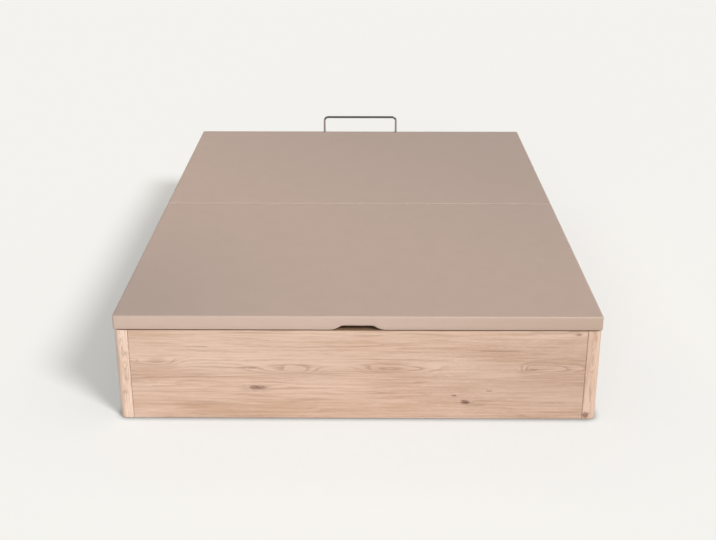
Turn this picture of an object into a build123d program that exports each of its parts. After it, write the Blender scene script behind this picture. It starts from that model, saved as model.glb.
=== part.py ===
from build123d import *
from math import cos, radians, sin
import os

# Storage bed base with a lift-up padded lid, in millimetres.
# +Z is up, +X is to the right seen from the foot end, +Y runs to the head end.
# The origin lies on the floor, under the middle of the base.

# Overall sizes
bed_width = 1500.0
bed_length = 1900.0

# Box: panels and rounded corner posts on low glides
glide_height = 2.0
box_height = 310.0
panel_thickness = 30.0
post_size = 43.0
post_radius = 22.0
rear_drop = 6.0
edge_bevel = 1.2

# Corner joints: cam locks, cam bolts and dowels
cam_radius = 7.3
cam_depth = 12.6
cam_setback = 24.0
cam_inset = 9.0
cam_rise = 58.0
cam_drop = 56.0
cam_slot_width = 7.2
cam_clearance = 0.2
bolt_thread_radius = 2.5
bolt_thread_length = 11.0
bolt_shank_radius = 3.0
bolt_neck_radius = 2.0
bolt_neck_length = 4.0
bolt_head_radius = 3.2
bolt_head_length = 3.0
dowel_radius = 4.0
dowel_length = 30.0
dowel_rise = 108.0
dowel_drop = 106.0
drill_clearance = 0.1
bolt_hole_clearance = 0.5
cut_overrun = 1.0

# Floor of the storage space
floor_thickness = 8.0
ledger_height = 18.0
ledger_width = 18.0
batten_width = 60.0
foot_height = 4.0
foot_radius = 15.0
foot_spacing = 350.0
floor_gap = 1.0
glide_radius = 12.0
side_glide_spacing = 600.0
bumper_radius = 5.0
bumper_height = 1.5
end_bumper_spacing = 1200.0
side_bumper_spacing = 1200.0

# Lid: two padded half-lids joined end to end
cover_thickness = 3.0
cover_clearance = 0.2
cover_edge_radius = 4.0
hem_thickness = 1.0
hem_width = 25.0
board_thickness = 8.0
rail_height = 34.5
rail_width = 30.0
half_joint_gap = 0.5
lining_gap = 0.5

# Grip notch in the lower edge of the lid, at the foot end
notch_height = 14.5
notch_bottom_width = 143.0
notch_top_width = 97.0
notch_top_radius = 15.0
notch_bottom_radius = 55.0

# Steel side bars that join the half-lids and swing on the hinge pins
bar_thickness = 5.0
bar_height = 32.0
bar_front = -500.0
bar_to_panel = 4.0
bar_rise = 0.5
bar_end_radius = 13.0
bar_end_reach = 11.0

# Hinge plates inside the side panels
plate_thickness = 3.0
pivot_inset = 16.0
pivot_rise = 18.5
neck_half_width = 7.0
neck_drop_angle = 30.0
neck_length = 66.0
ear_radius = 9.0
plate_upright_width = 52.0
plate_leg_height = 40.0
plate_leg_below = 14.0
plate_leg_ahead = 24.0
plate_to_post = 4.0
plate_top_gap = 4.0
plate_inner_radius = 45.0
plate_corner_radius = 10.0
hinge_pin_radius = 5.0
pin_head_radius = 9.0
pin_head_thickness = 2.5
pin_tail_radius = 8.0
running_clearance = 0.05
pin_shoulder_radius = 8.0
pocket_side = 5.0
pocket_length = 68.0
pocket_inner = 12.0

# Gas struts: both ends are equally far from the lid hinge, so that each strut
# turns by half the angle of the lid and its rod stays in line with its tube.
strut_lid_angle = 4.0
strut_spread_angle = 55.0
lid_opening_angle = 45.0
strut_foot_rise = 19.0
strut_inset = 25.0
tube_radius = 11.0
tube_bore_radius = 9.5
tube_end_wall = 5.0
tube_setback = 20.0
tube_end_gap = 3.0
tube_end_round = 1.5
tube_groove_radius = 1.6
tube_groove_depth = 0.9
tube_groove_setback = 8.0
guide_length = 14.0
rod_radius = 5.0
rod_clearance = 0.2
piston_radius = 9.2
piston_length = 8.0
piston_stop_gap = 3.0
eye_radius = 9.0
eye_width = 12.0
eye_shank_radius = 5.8
eye_thread_depth = 8.0
thread_radius = 4.0
stud_radius = 4.0
stud_collar_radius = 8.0
stud_head_radius = 7.0
stud_head_thickness = 1.5
stud_play = 0.3
lobe_radius = 13.0
lobe_root_length = 78.0

# Screws that hold the plates and the bars
plate_screw_radius = 2.5
plate_screw_length = 18.0
upright_screw_drops = (34.0, 94.0, 154.0)
leg_screw_setbacks = (41.0, 100.0)
bar_screw_radius = 2.25
bar_screw_length = 27.0
screw_head_radius = 4.5
screw_head_height = 2.2
bar_screws_foot = (-440.0, -300.0, -160.0, -70.0)
bar_screws_head = (70.0, 200.0, 330.0, 440.0)
bar_screw_setbacks = (274.0, 174.0, 84.0)

# Bolts through the two middle rails
join_bolt_radius = 4.0
join_head_radius = 8.0
join_head_height = 5.0
join_nut_size = 13.0
join_nut_height = 6.5
join_bolt_end = 3.0
join_bolt_places = (-500.0, -170.0, 170.0, 500.0)

# Mattress stop: a bent steel rod that stands on the head end of the lid
stop_width = 348.0
stop_height = 81.0
stop_rod_radius = 5.0
stop_bend_radius = 18.0
stop_nut_size = 17.0
stop_nut_height = 8.0
stop_flange_radius = 11.0
stop_flange_height = 1.5
stop_thread_end = 2.5
stop_counterbore_depth = 16.0
counterbore_clearance = 1.0

# Places worked out from the sizes above
half_width = bed_width / 2
half_length = bed_length / 2
box_top = glide_height + box_height
lid_bottom = box_top + bumper_height
rail_bottom = lid_bottom + hem_thickness
board_bottom = rail_bottom + rail_height
board_top = board_bottom + board_thickness
lid_top = board_top + cover_thickness
side_inner = half_width - panel_thickness
end_inner = half_length - panel_thickness
post_face_x = half_width - post_size
post_face_y = half_length - post_size
floor_bottom = foot_height + ledger_height
floor_top = floor_bottom + floor_thickness
frame_inset = cover_thickness + cover_clearance
frame_x = half_width - frame_inset
frame_y = half_length - frame_inset
frame_joint = half_joint_gap + frame_inset
bar_outer = side_inner - bar_to_panel
bar_inner = bar_outer - bar_thickness
plate_inner = side_inner - plate_thickness
pivot_y = half_length - pivot_inset
pivot_z = lid_bottom + pivot_rise
cam_heights = (glide_height + cam_rise, box_top - cam_drop)
dowel_heights = (glide_height + dowel_rise, box_top - dowel_drop)
cross_rail_y = half_length / 2
strut_x = side_inner - strut_inset
strut_foot_angle = strut_lid_angle + strut_spread_angle
strut_foot_drop = pivot_z - floor_top - strut_foot_rise
strut_arm = strut_foot_drop / sin(radians(strut_foot_angle))
strut_top = Vector(
    strut_x,
    pivot_y - strut_arm * cos(radians(strut_lid_angle)),
    pivot_z - strut_arm * sin(radians(strut_lid_angle)),
)
strut_foot = Vector(
    strut_x,
    pivot_y - strut_arm * cos(radians(strut_foot_angle)),
    pivot_z - strut_foot_drop,
)
strut_closed = 2 * strut_arm * sin(radians(strut_spread_angle / 2))
strut_open = 2 * strut_arm * sin(radians((strut_spread_angle + lid_opening_angle) / 2))
lining_x = half_width - hem_width - lining_gap
stop_y = frame_y - rail_width / 2
stop_leg_x = stop_width / 2 - stop_rod_radius
both = (-1, 1)

os.makedirs("parts", exist_ok=True)


def save(builder, name):
    """Name a finished piece and write it."""
    builder.part.label = name
    export_step(builder.part, f"parts/{name}.step")


def save_pair(right, name):
    """Write a right-hand piece and its mirror image on the left."""
    save(right, f"{name}_right")
    with BuildPart() as left:
        mirror(right.part, about=Plane.YZ)
    save(left, f"{name}_left")


def bore(frames, radius, depth, start=0.0):
    """Drill the piece that is being made, from each frame along its +Z."""
    with Locations(*[frame.offset(start) for frame in frames]):
        Cylinder(radius, depth, align=(Align.CENTER, Align.CENTER, Align.MIN), mode=Mode.SUBTRACT)


def rod(frames, radius, length, start=0.0):
    """Add a round length to the piece that is being made, from each frame along its +Z."""
    with Locations(*[frame.offset(start) for frame in frames]):
        Cylinder(radius, length, align=(Align.CENTER, Align.CENTER, Align.MIN))


def block(low, high):
    """Add a plain board between two opposite corners."""
    size = [b - a for a, b in zip(low, high)]
    middle = [(a + b) / 2 for a, b in zip(low, high)]
    with Locations(tuple(middle)):
        Box(*size)


def panel_end_frames(inset, heights):
    """Frames on the ends of the four panels, with +Z going into the post."""
    frames = []
    for height in heights:
        for side in both:
            for end in both:
                side_end = (side * (side_inner + inset), end * post_face_y, height)
                frames.append(Plane(side_end, x_dir=(0, 0, 1), z_dir=(0, end, 0)))
                end_end = (side * post_face_x, end * (end_inner + inset), height)
                frames.append(Plane(end_end, x_dir=(0, 0, 1), z_dir=(side, 0, 0)))
    return frames


def cam_frames():
    """Frames on the inner faces of the panels, with +Z into the panel and +X to its post."""
    frames = []
    for height in cam_heights:
        for side in both:
            for end in both:
                on_side = (side * side_inner, end * (post_face_y - cam_setback), height)
                frames.append(Plane(on_side, x_dir=(0, end, 0), z_dir=(side, 0, 0)))
                on_end = (side * (post_face_x - cam_setback), end * end_inner, height)
                frames.append(Plane(on_end, x_dir=(side, 0, 0), z_dir=(0, end, 0)))
    return frames


def drill_corner_joints():
    """Drill a panel or a post for the dowels, the cam bolts and the cam locks."""
    dowel_depth = dowel_length / 2 + drill_clearance
    dowel_ends = panel_end_frames(panel_thickness / 2, dowel_heights)
    bore(dowel_ends, dowel_radius + drill_clearance, 2 * dowel_depth, -dowel_depth)
    bolts = panel_end_frames(cam_inset, cam_heights)
    bore(bolts, bolt_shank_radius + bolt_hole_clearance, cam_setback, -cam_setback)
    bore(bolts, bolt_thread_radius + drill_clearance, bolt_thread_length + drill_clearance)
    bore(cam_frames(), cam_radius + cam_clearance, cam_depth + cam_clearance)


# Box: corner posts with a rounded outer corner, bevelled where the panels meet them
for end, end_name in ((-1, "front"), (1, "rear")):
    for side, side_name in ((-1, "left"), (1, "right")):
        top = box_top - (rear_drop if end > 0 else 0.0)
        with BuildPart() as post:
            with BuildSketch(Plane.XY.offset(glide_height)) as plan:
                with Locations((side * (half_width - post_size / 2), end * (half_length - post_size / 2))):
                    Rectangle(post_size, post_size)
                by_distance = plan.vertices().sort_by_distance((side * half_width, end * half_length, 0))
                chamfer(by_distance[1:3], edge_bevel)
                outer = plan.vertices().sort_by_distance((side * half_width, end * half_length, 0))[0]
                fillet(outer, post_radius)
            extrude(amount=top - glide_height)
            drill_corner_joints()
        save(post, f"corner_post_{end_name}_{side_name}")

# Box: front and rear panels between the posts
for end, name in ((-1, "front_panel"), (1, "rear_panel")):
    top = box_top - (rear_drop if end > 0 else 0.0)
    with BuildPart() as end_panel:
        with BuildSketch(Plane.XY.offset(glide_height)):
            with Locations((0, end * (half_length - panel_thickness / 2))):
                Rectangle(2 * post_face_x, panel_thickness)
        extrude(amount=top - glide_height)
        chamfer(end_panel.edges().filter_by(Axis.Z), edge_bevel)
        drill_corner_joints()
    save(end_panel, name)

# Box: side panels between the posts, drilled for the screws of the hinge plates
plate_rear = post_face_y - plate_to_post
plate_bottom = strut_foot.Z - plate_leg_below
plate_front = strut_foot.Y - plate_leg_ahead
upright_top = box_top - plate_top_gap
upright_middle = plate_rear - plate_upright_width / 2
leg_middle = plate_bottom + plate_leg_height / 2
screw_places = [(upright_middle, upright_top - drop) for drop in upright_screw_drops]
screw_places += [(plate_rear - setback, leg_middle) for setback in leg_screw_setbacks]
plate_screw_frames = [Plane((plate_inner, y, z), x_dir=(0, 1, 0), z_dir=(1, 0, 0)) for y, z in screw_places]
with BuildPart() as side_panel:
    with BuildSketch(Plane.XY.offset(glide_height)):
        with Locations((half_width - panel_thickness / 2, 0)):
            Rectangle(panel_thickness, 2 * post_face_y)
    extrude(amount=box_height)
    chamfer(side_panel.edges().filter_by(Axis.Z), edge_bevel)
    drill_corner_joints()
    bore(plate_screw_frames, plate_screw_radius + drill_clearance, plate_screw_length + drill_clearance)
save_pair(side_panel, "side_panel")

# Box: dowels in the corner joints
with BuildPart() as dowels:
    rod(panel_end_frames(panel_thickness / 2, dowel_heights), dowel_radius, dowel_length, -dowel_length / 2)
save(dowels, "corner_dowels")

# Box: cam bolts, screwed into the posts
with BuildPart() as cam_bolts:
    bolt_frames = panel_end_frames(cam_inset, cam_heights)
    neck_start = bolt_head_length / 2 - cam_setback
    rod(bolt_frames, bolt_thread_radius, bolt_thread_length)
    rod(bolt_frames, bolt_shank_radius, -neck_start - bolt_neck_length, neck_start + bolt_neck_length)
    rod(bolt_frames, bolt_neck_radius, bolt_neck_length, neck_start)
    rod(bolt_frames, bolt_head_radius, bolt_head_length, neck_start - bolt_head_length)
save(cam_bolts, "cam_bolts")

# Box: cam locks, each with the slot that takes the head of its bolt
with BuildPart() as cams:
    rod(cam_frames(), cam_radius, cam_depth)
    slot_back = bolt_head_length + cam_slot_width / 2
    slot_top = cam_inset - cam_slot_width / 2
    slot_length = slot_back + cam_radius + cut_overrun
    with Locations(*[frame.offset(slot_top) for frame in cam_frames()]):
        with Locations((slot_length / 2 - slot_back, 0, 0)):
            Box(
                slot_length,
                cam_slot_width,
                cam_depth - slot_top + cut_overrun,
                align=(Align.CENTER, Align.CENTER, Align.MIN),
                mode=Mode.SUBTRACT,
            )
save(cams, "cam_locks")

# Floor: ledgers along the panels
side_ledger_y = post_face_y - floor_gap / 2
end_ledger_x = side_inner - ledger_width - floor_gap / 2
with BuildPart() as side_ledger:
    block(
        (side_inner - ledger_width, -side_ledger_y, foot_height),
        (side_inner, side_ledger_y, floor_bottom),
    )
save_pair(side_ledger, "ledger")
for end, name in ((-1, "ledger_front"), (1, "ledger_rear")):
    with BuildPart() as end_ledger:
        with BuildSketch(Plane.XY.offset(foot_height)):
            with Locations((0, end * (end_inner - ledger_width / 2))):
                Rectangle(2 * end_ledger_x, ledger_width)
        extrude(amount=ledger_height)
    save(end_ledger, name)

# Floor: three boards, notched round the posts at the ends
floor_x = side_inner - floor_gap / 2
floor_y = end_inner - floor_gap / 2
board_length = (2 * floor_y - 2 * floor_gap) / 3
post_notch = post_size - panel_thickness
for place, name in ((-1, "floor_board_front"), (0, "floor_board_middle"), (1, "floor_board_rear")):
    with BuildPart() as floor_board:
        with BuildSketch(Plane.XY.offset(floor_bottom)):
            with Locations((0, place * (board_length + floor_gap))):
                Rectangle(2 * floor_x, board_length)
            with Locations(*[(side * floor_x, end * floor_y) for side in both for end in both]):
                Rectangle(2 * post_notch, 2 * post_notch, mode=Mode.SUBTRACT)
        extrude(amount=floor_thickness)
    save(floor_board, name)

# Floor: battens under the joints between the boards, on low feet
batten_y = (board_length + floor_gap) / 2
for end, name in ((-1, "floor_batten_front"), (1, "floor_batten_rear")):
    with BuildPart() as batten:
        with BuildSketch(Plane.XY.offset(foot_height)):
            with Locations((0, end * batten_y)):
                Rectangle(2 * end_ledger_x, batten_width)
        extrude(amount=ledger_height)
    save(batten, name)
with BuildPart() as batten_feet:
    with BuildSketch():
        with GridLocations(foot_spacing, 2 * batten_y, 3, 2):
            Circle(foot_radius)
    extrude(amount=foot_height)
save(batten_feet, "batten_feet")

# Glides under the posts and the side panels
with BuildPart() as glides:
    with BuildSketch():
        with GridLocations(bed_width - post_size, bed_length - post_size, 2, 2):
            Circle(glide_radius)
        with GridLocations(bed_width - panel_thickness, side_glide_spacing, 2, 2):
            Circle(glide_radius)
        with GridLocations(side_glide_spacing, bed_length - panel_thickness, 2, 2):
            Circle(glide_radius)
    extrude(amount=glide_height)
save(glides, "glides")

# Rubber bumpers that the closed lid rests on
with BuildPart() as bumpers:
    with BuildSketch(Plane.XY.offset(box_top)):
        with Locations((0, -(half_length - panel_thickness / 2))):
            with GridLocations(end_bumper_spacing, 1, 2, 1):
                Circle(bumper_radius)
        with GridLocations(bed_width - panel_thickness, side_bumper_spacing, 2, 2):
            Circle(bumper_radius)
    extrude(amount=bumper_height)
save(bumpers, "lid_bumpers")

# Hinge plates: an upright and a leg on the side panel, and a neck over the rear post
neck_run = radians(neck_drop_angle)
neck_middle = (
    pivot_y - neck_length / 2 * cos(neck_run),
    pivot_z - neck_length / 2 * sin(neck_run),
)
with BuildPart() as hinge_plate:
    with BuildSketch(Plane.YZ.offset(plate_inner)) as plate_outline:
        with Locations((upright_middle, (plate_bottom + upright_top) / 2)):
            Rectangle(plate_upright_width, upright_top - plate_bottom)
        with Locations(((plate_front + plate_rear) / 2, leg_middle)):
            Rectangle(plate_rear - plate_front, plate_leg_height)
        inner_corner = (plate_rear - plate_upright_width, plate_bottom + plate_leg_height, 0)
        fillet(plate_outline.vertices().sort_by_distance(inner_corner)[0], plate_inner_radius)
        for corner in (
            (plate_front, plate_bottom, 0),
            (plate_front, plate_bottom + plate_leg_height, 0),
            (plate_rear, plate_bottom, 0),
            (plate_rear - plate_upright_width, upright_top, 0),
        ):
            fillet(plate_outline.vertices().sort_by_distance(corner)[0], plate_corner_radius)
        SlotCenterPoint(neck_middle, (pivot_y, pivot_z), 2 * neck_half_width)
        with Locations((pivot_y, pivot_z)):
            Circle(ear_radius)
            Circle(hinge_pin_radius + running_clearance, mode=Mode.SUBTRACT)
        with Locations((strut_foot.Y, strut_foot.Z)):
            Circle(stud_radius + running_clearance, mode=Mode.SUBTRACT)
    extrude(amount=plate_thickness)
    bore(plate_screw_frames, plate_screw_radius + drill_clearance, plate_thickness)
save_pair(hinge_plate, "hinge_plate")

# Screws that fix the hinge plates to the side panels
with BuildPart() as plate_screws:
    rod(plate_screw_frames, plate_screw_radius, plate_screw_length)
    rod(plate_screw_frames, screw_head_radius, screw_head_height, -screw_head_height)
    mirror(about=Plane.YZ)
save(plate_screws, "hinge_plate_screws")

# Hinge pins, riveted through the ears, with a shoulder between ear and bar
pin_frame = Plane((bar_inner, pivot_y, pivot_z), x_dir=(0, 1, 0), z_dir=(1, 0, 0))
pin_length = side_inner - bar_inner
with BuildPart() as hinge_pins:
    rod([pin_frame], hinge_pin_radius, pin_length)
    rod([pin_frame], pin_shoulder_radius, plate_inner - bar_outer, bar_thickness)
    rod([pin_frame], pin_head_radius, pin_head_thickness, pin_length)
    rod([pin_frame], pin_tail_radius, pin_head_thickness, -pin_head_thickness)
    mirror(about=Plane.YZ)
save(hinge_pins, "hinge_pins")

# Studs that carry the ends of the gas struts
stud_tip = strut_x - eye_width / 2 - stud_play


def strut_stud(place, seat, wall):
    """One stud along X from a steel wall to the middle of the base, in the piece being made."""
    frame = Plane((stud_tip, place.Y, place.Z), x_dir=(0, 1, 0), z_dir=(1, 0, 0))
    collar_start = eye_width + 2 * stud_play
    rod([frame], stud_head_radius, stud_head_thickness, -stud_head_thickness)
    rod([frame], stud_radius, seat - stud_tip + wall)
    rod([frame], stud_collar_radius, seat - stud_tip - collar_start, collar_start)


with BuildPart() as lower_studs:
    strut_stud(strut_foot, plate_inner, plate_thickness)
    mirror(about=Plane.YZ)
save(lower_studs, "lower_strut_studs")
with BuildPart() as upper_studs:
    strut_stud(strut_top, bar_inner, bar_thickness)
    mirror(about=Plane.YZ)
save(upper_studs, "upper_strut_studs")

# Gas struts, drawn closed: all lengths are measured from the lower stud
strut_line = Plane(strut_foot, x_dir=(1, 0, 0), z_dir=strut_top - strut_foot)
tube_end = strut_closed - tube_setback
tube_mouth = tube_setback + tube_end_gap
tube_length = tube_end - tube_mouth
piston_start = strut_open - tube_setback - tube_length + guide_length + piston_stop_gap


def strut_eye(place, shank_start):
    """A strut eye round a stud, with a tapped shank along the strut, in the piece being made."""
    frame = Plane((strut_x - eye_width / 2, place.Y, place.Z), x_dir=(0, 1, 0), z_dir=(1, 0, 0))
    rod([strut_line], eye_shank_radius, tube_setback - stud_play, shank_start)
    rod([frame], eye_radius, eye_width)
    bore([frame], stud_radius + running_clearance, eye_width)


with BuildPart() as strut_rod:
    rod_start = tube_setback - eye_thread_depth
    rod([strut_line], rod_radius, piston_start - tube_setback, tube_setback)
    rod([strut_line], thread_radius, eye_thread_depth, rod_start)
    rod([strut_line], piston_radius, piston_length, piston_start)
save_pair(strut_rod, "strut_rod")
with BuildPart() as rod_eye:
    strut_eye(strut_foot, 0.0)
    bore([strut_line], thread_radius + running_clearance, eye_thread_depth + stud_play, rod_start - stud_play)
save_pair(rod_eye, "strut_rod_eye")
# The tube is rolled in round its rod guide, near the mouth
with BuildPart() as strut_tube:
    rod([strut_line], tube_radius, tube_length, tube_mouth)
    fillet(strut_tube.edges().filter_by(GeomType.CIRCLE), tube_end_round)
    with Locations(strut_line.offset(tube_mouth + tube_groove_setback)):
        groove_middle = tube_radius - tube_groove_depth + tube_groove_radius
        Torus(groove_middle, tube_groove_radius, mode=Mode.SUBTRACT)
    bore_length = tube_length - guide_length - tube_end_wall
    bore([strut_line], tube_bore_radius, bore_length, tube_mouth + guide_length)
    bore([strut_line], rod_radius + rod_clearance, guide_length, tube_mouth)
    rod([strut_line], thread_radius, eye_thread_depth, tube_end)
save_pair(strut_tube, "strut_tube")
with BuildPart() as tube_eye:
    strut_eye(strut_top, tube_end + stud_play)
    bore([strut_line], thread_radius + running_clearance, eye_thread_depth + stud_play, tube_end)
save_pair(tube_eye, "strut_tube_eye")


def lid_outline(end, inset, height):
    """Plan of one half-lid drawn in by inset, with its two outer corners rounded."""
    near = half_joint_gap + inset
    far = half_length - inset
    with BuildSketch(Plane.XY.offset(height)) as plan:
        with Locations((0, end * (near + far) / 2)):
            Rectangle(2 * (half_width - inset), far - near)
        if inset < post_radius:
            fillet(plan.vertices().sort_by(Axis.Y)[::-end][:2], post_radius - inset)
    return plan.sketch


def notch_outline(plane, grow):
    """The grip notch seen from the foot end, larger all round by grow."""
    base = rail_bottom if grow else lid_bottom
    foot_x = notch_bottom_width / 2 + 2 * grow
    head_x = notch_top_width / 2 + grow
    roof = lid_bottom + notch_height + grow
    tail_x = notch_bottom_width
    low = base - notch_height
    with BuildSketch(plane) as outline:
        with BuildLine():
            FilletPolyline(
                (-tail_x, base),
                (-foot_x, base),
                (-head_x, roof),
                (head_x, roof),
                (foot_x, base),
                (tail_x, base),
                radius=[notch_bottom_radius, notch_top_radius, notch_top_radius, notch_bottom_radius],
            )
            Polyline((tail_x, base), (tail_x, low), (-tail_x, low), (-tail_x, base))
        make_face()
    return outline.sketch


notch_depth = frame_inset + rail_width
notch_cut = notch_depth + 2 * cut_overrun
notch_face = Plane.XZ.offset(half_length)
notch_front = Plane.XZ.offset(half_length + cut_overrun)
stop_frames = [Plane((side * stop_leg_x, stop_y, rail_bottom)) for side in both]
rail_middle = rail_bottom + rail_height / 2
join_frames = [
    Plane((x, -frame_joint - rail_width, rail_middle), x_dir=(1, 0, 0), z_dir=(0, 1, 0))
    for x in join_bolt_places
]
join_span = 2 * (frame_joint + rail_width)
bar_bottom = rail_bottom + bar_rise
bar_slot_width = bar_thickness + 2 * bar_rise
pocket_front = frame_y - pocket_length
pocket_inner_x = bar_inner - pocket_inner
pocket_outer_x = side_inner + pocket_side


def cut_pockets(height, depth):
    """Cut the two hinge pockets at the head end out of the piece being made."""
    middle = (pocket_inner_x + pocket_outer_x) / 2
    with Locations(*[(side * middle, pocket_front + pocket_length / 2, height) for side in both]):
        Box(
            pocket_outer_x - pocket_inner_x,
            pocket_length,
            depth,
            align=(Align.CENTER, Align.CENTER, Align.MIN),
            mode=Mode.SUBTRACT,
        )


# Lid: fabric covers, wrapped over each half-lid and turned in under its rails
for end, name in ((-1, "lid_cover_foot"), (1, "lid_cover_head")):
    with BuildPart() as cover:
        extrude(lid_outline(end, 0, lid_bottom), amount=lid_top - lid_bottom)
        fillet(cover.faces().sort_by(Axis.Z)[-1].edges(), cover_edge_radius)
        cavity = lid_outline(end, cover_thickness, rail_bottom)
        extrude(cavity, amount=board_top - rail_bottom, mode=Mode.SUBTRACT)
        extrude(lid_outline(end, hem_width, lid_bottom), amount=hem_thickness, mode=Mode.SUBTRACT)
        bore(join_frames, join_bolt_radius + drill_clearance, join_span)
        with Locations(*[(side * (bar_inner + bar_outer) / 2, 0, bar_bottom - bar_rise) for side in both]):
            Box(
                bar_slot_width,
                2 * frame_joint,
                bar_height + 2 * bar_rise,
                align=(Align.CENTER, Align.CENTER, Align.MIN),
                mode=Mode.SUBTRACT,
            )
        if end < 0:
            extrude(notch_outline(notch_face, cover_thickness), amount=-notch_depth)
            extrude(notch_outline(notch_front, 0), amount=-notch_cut, mode=Mode.SUBTRACT)
        else:
            bore(stop_frames, stop_rod_radius + drill_clearance, lid_top)
            cut_pockets(lid_bottom, hem_thickness)
    save(cover, name)

# Lid: boards under the covers
for end, name in ((-1, "lid_board_foot"), (1, "lid_board_head")):
    with BuildPart() as board:
        extrude(lid_outline(end, frame_inset, board_bottom), amount=board_thickness)
        if end > 0:
            bore(stop_frames, stop_rod_radius + drill_clearance, lid_top)
    save(board, name)

# Lid: front rail with the grip notch
with BuildPart() as front_rail:
    extrude(lid_outline(-1, frame_inset, rail_bottom), amount=rail_height)
    split(bisect_by=Plane.XZ.offset(frame_y - rail_width), keep=Keep.TOP)
    extrude(notch_outline(notch_front, frame_inset), amount=-notch_cut, mode=Mode.SUBTRACT)
save(front_rail, "lid_rail_front")

# Lid: rear rail, drilled and counterbored for the legs of the mattress stop
with BuildPart() as rear_rail:
    with BuildSketch(Plane.XY.offset(rail_bottom)):
        with Locations((0, stop_y)):
            Rectangle(2 * pocket_inner_x, rail_width)
    extrude(amount=rail_height)
    bore(stop_frames, stop_rod_radius + drill_clearance, rail_height)
    bore(stop_frames, stop_flange_radius + counterbore_clearance, stop_counterbore_depth)
save(rear_rail, "lid_rail_rear")

# Lid: middle rails, one each side of the joint, bolted together
for end, name in ((-1, "lid_rail_middle_foot"), (1, "lid_rail_middle_head")):
    with BuildPart() as middle_rail:
        with BuildSketch(Plane.XY.offset(rail_bottom)):
            with Locations((0, end * (frame_joint + rail_width / 2))):
                Rectangle(2 * (bar_inner - cover_clearance), rail_width)
        extrude(amount=rail_height)
        bore(join_frames, join_bolt_radius + drill_clearance, join_span)
    save(middle_rail, name)

# Lid: cross rails halfway along each half-lid
for end, name in ((-1, "lid_rail_cross_foot"), (1, "lid_rail_cross_head")):
    with BuildPart() as cross_rail:
        with BuildSketch(Plane.XY.offset(rail_bottom)):
            with Locations((0, end * cross_rail_y)):
                Rectangle(2 * (bar_inner - cover_clearance), rail_width)
        extrude(amount=rail_height)
    save(cross_rail, name)

# Lid: side rails, rebated at the head end for the hinge ears
bar_screw_places = [*bar_screws_foot, *bar_screws_head]
bar_screw_places += [pivot_y - setback for setback in bar_screw_setbacks]
bar_screw_frames = [
    Plane((bar_inner, y, bar_bottom + bar_height / 2), x_dir=(0, 1, 0), z_dir=(1, 0, 0))
    for y in bar_screw_places
]
with BuildPart() as side_rail_foot:
    block((bar_outer, rail_width - frame_y, rail_bottom), (frame_x, -frame_joint, board_bottom))
    bore(bar_screw_frames, bar_screw_radius + drill_clearance, bar_screw_length + drill_clearance)
save_pair(side_rail_foot, "lid_rail_side_foot")
with BuildPart() as side_rail_head:
    block((bar_outer, frame_joint, rail_bottom), (frame_x, frame_y, board_bottom))
    upright_edges = side_rail_head.edges().filter_by(Axis.Z)
    rear_corner = upright_edges.sort_by_distance((frame_x, frame_y, rail_middle))[0]
    fillet(rear_corner, post_radius - frame_inset)
    cut_pockets(rail_bottom, rail_height)
    bore(bar_screw_frames, bar_screw_radius + drill_clearance, bar_screw_length + drill_clearance)
save_pair(side_rail_head, "lid_rail_side_head")

# Lid: linings under the rails, cut away at the notch, the hinges and the struts
lining_near = half_joint_gap + hem_width + lining_gap
lining_far = half_length - hem_width - lining_gap
window_inner_x = strut_x - eye_width / 2 - stud_head_thickness - stud_play - lining_gap
window_length = lobe_root_length + 2 * lining_gap
for end, name in ((-1, "lid_lining_foot"), (1, "lid_lining_head")):
    with BuildPart() as lining:
        with BuildSketch(Plane.XY.offset(lid_bottom)):
            with Locations((0, end * (lining_near + lining_far) / 2)):
                Rectangle(2 * lining_x, lining_far - lining_near)
            if end < 0:
                with Locations((0, -lining_far)):
                    Rectangle(2 * notch_bottom_width + 2 * lining_gap, 2 * rail_width, mode=Mode.SUBTRACT)
            else:
                with Locations(*[(side * lining_x, strut_top.Y) for side in both]):
                    Rectangle(2 * (lining_x - window_inner_x), window_length, mode=Mode.SUBTRACT)
                with Locations(*[(side * lining_x, lining_far) for side in both]):
                    Rectangle(
                        2 * (lining_x - pocket_inner_x), 2 * (lining_far - pocket_front), mode=Mode.SUBTRACT
                    )
        extrude(amount=hem_thickness)
    save(lining, name)

# Lid: steel side bars, with a lobe that carries the strut and a rounded hinge end
bar_rear = pivot_y + bar_end_reach
with BuildPart() as side_bar:
    with BuildSketch(Plane.YZ.offset(bar_inner)) as bar_outline:
        with Locations(((bar_front + bar_rear) / 2, bar_bottom + bar_height / 2)):
            Rectangle(bar_rear - bar_front, bar_height)
        fillet(bar_outline.vertices().sort_by(Axis.Y)[-2:], bar_end_radius)
        fillet(bar_outline.vertices().sort_by(Axis.Y)[:2], bar_end_radius / 2)
        with BuildLine():
            Polyline(
                (strut_top.Y - lobe_root_length / 2, bar_bottom + bar_end_radius),
                (strut_top.Y - lobe_root_length / 2, bar_bottom),
                (strut_top.Y - lobe_radius, strut_top.Z),
                (strut_top.Y + lobe_radius, strut_top.Z),
                (strut_top.Y + lobe_root_length / 2, bar_bottom),
                (strut_top.Y + lobe_root_length / 2, bar_bottom + bar_end_radius),
                close=True,
            )
        make_face()
        with Locations((strut_top.Y, strut_top.Z)):
            Circle(lobe_radius)
            Circle(stud_radius + running_clearance, mode=Mode.SUBTRACT)
        with Locations((pivot_y, pivot_z)):
            Circle(hinge_pin_radius + running_clearance, mode=Mode.SUBTRACT)
    extrude(amount=bar_thickness)
    bore(bar_screw_frames, bar_screw_radius + drill_clearance, bar_thickness)
save_pair(side_bar, "lid_side_bar")

# Lid: screws that fix the bars to the side rails
with BuildPart() as bar_screws:
    rod(bar_screw_frames, bar_screw_radius, bar_screw_length)
    rod(bar_screw_frames, screw_head_radius, screw_head_height, -screw_head_height)
    mirror(about=Plane.YZ)
save(bar_screws, "lid_bar_screws")

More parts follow.
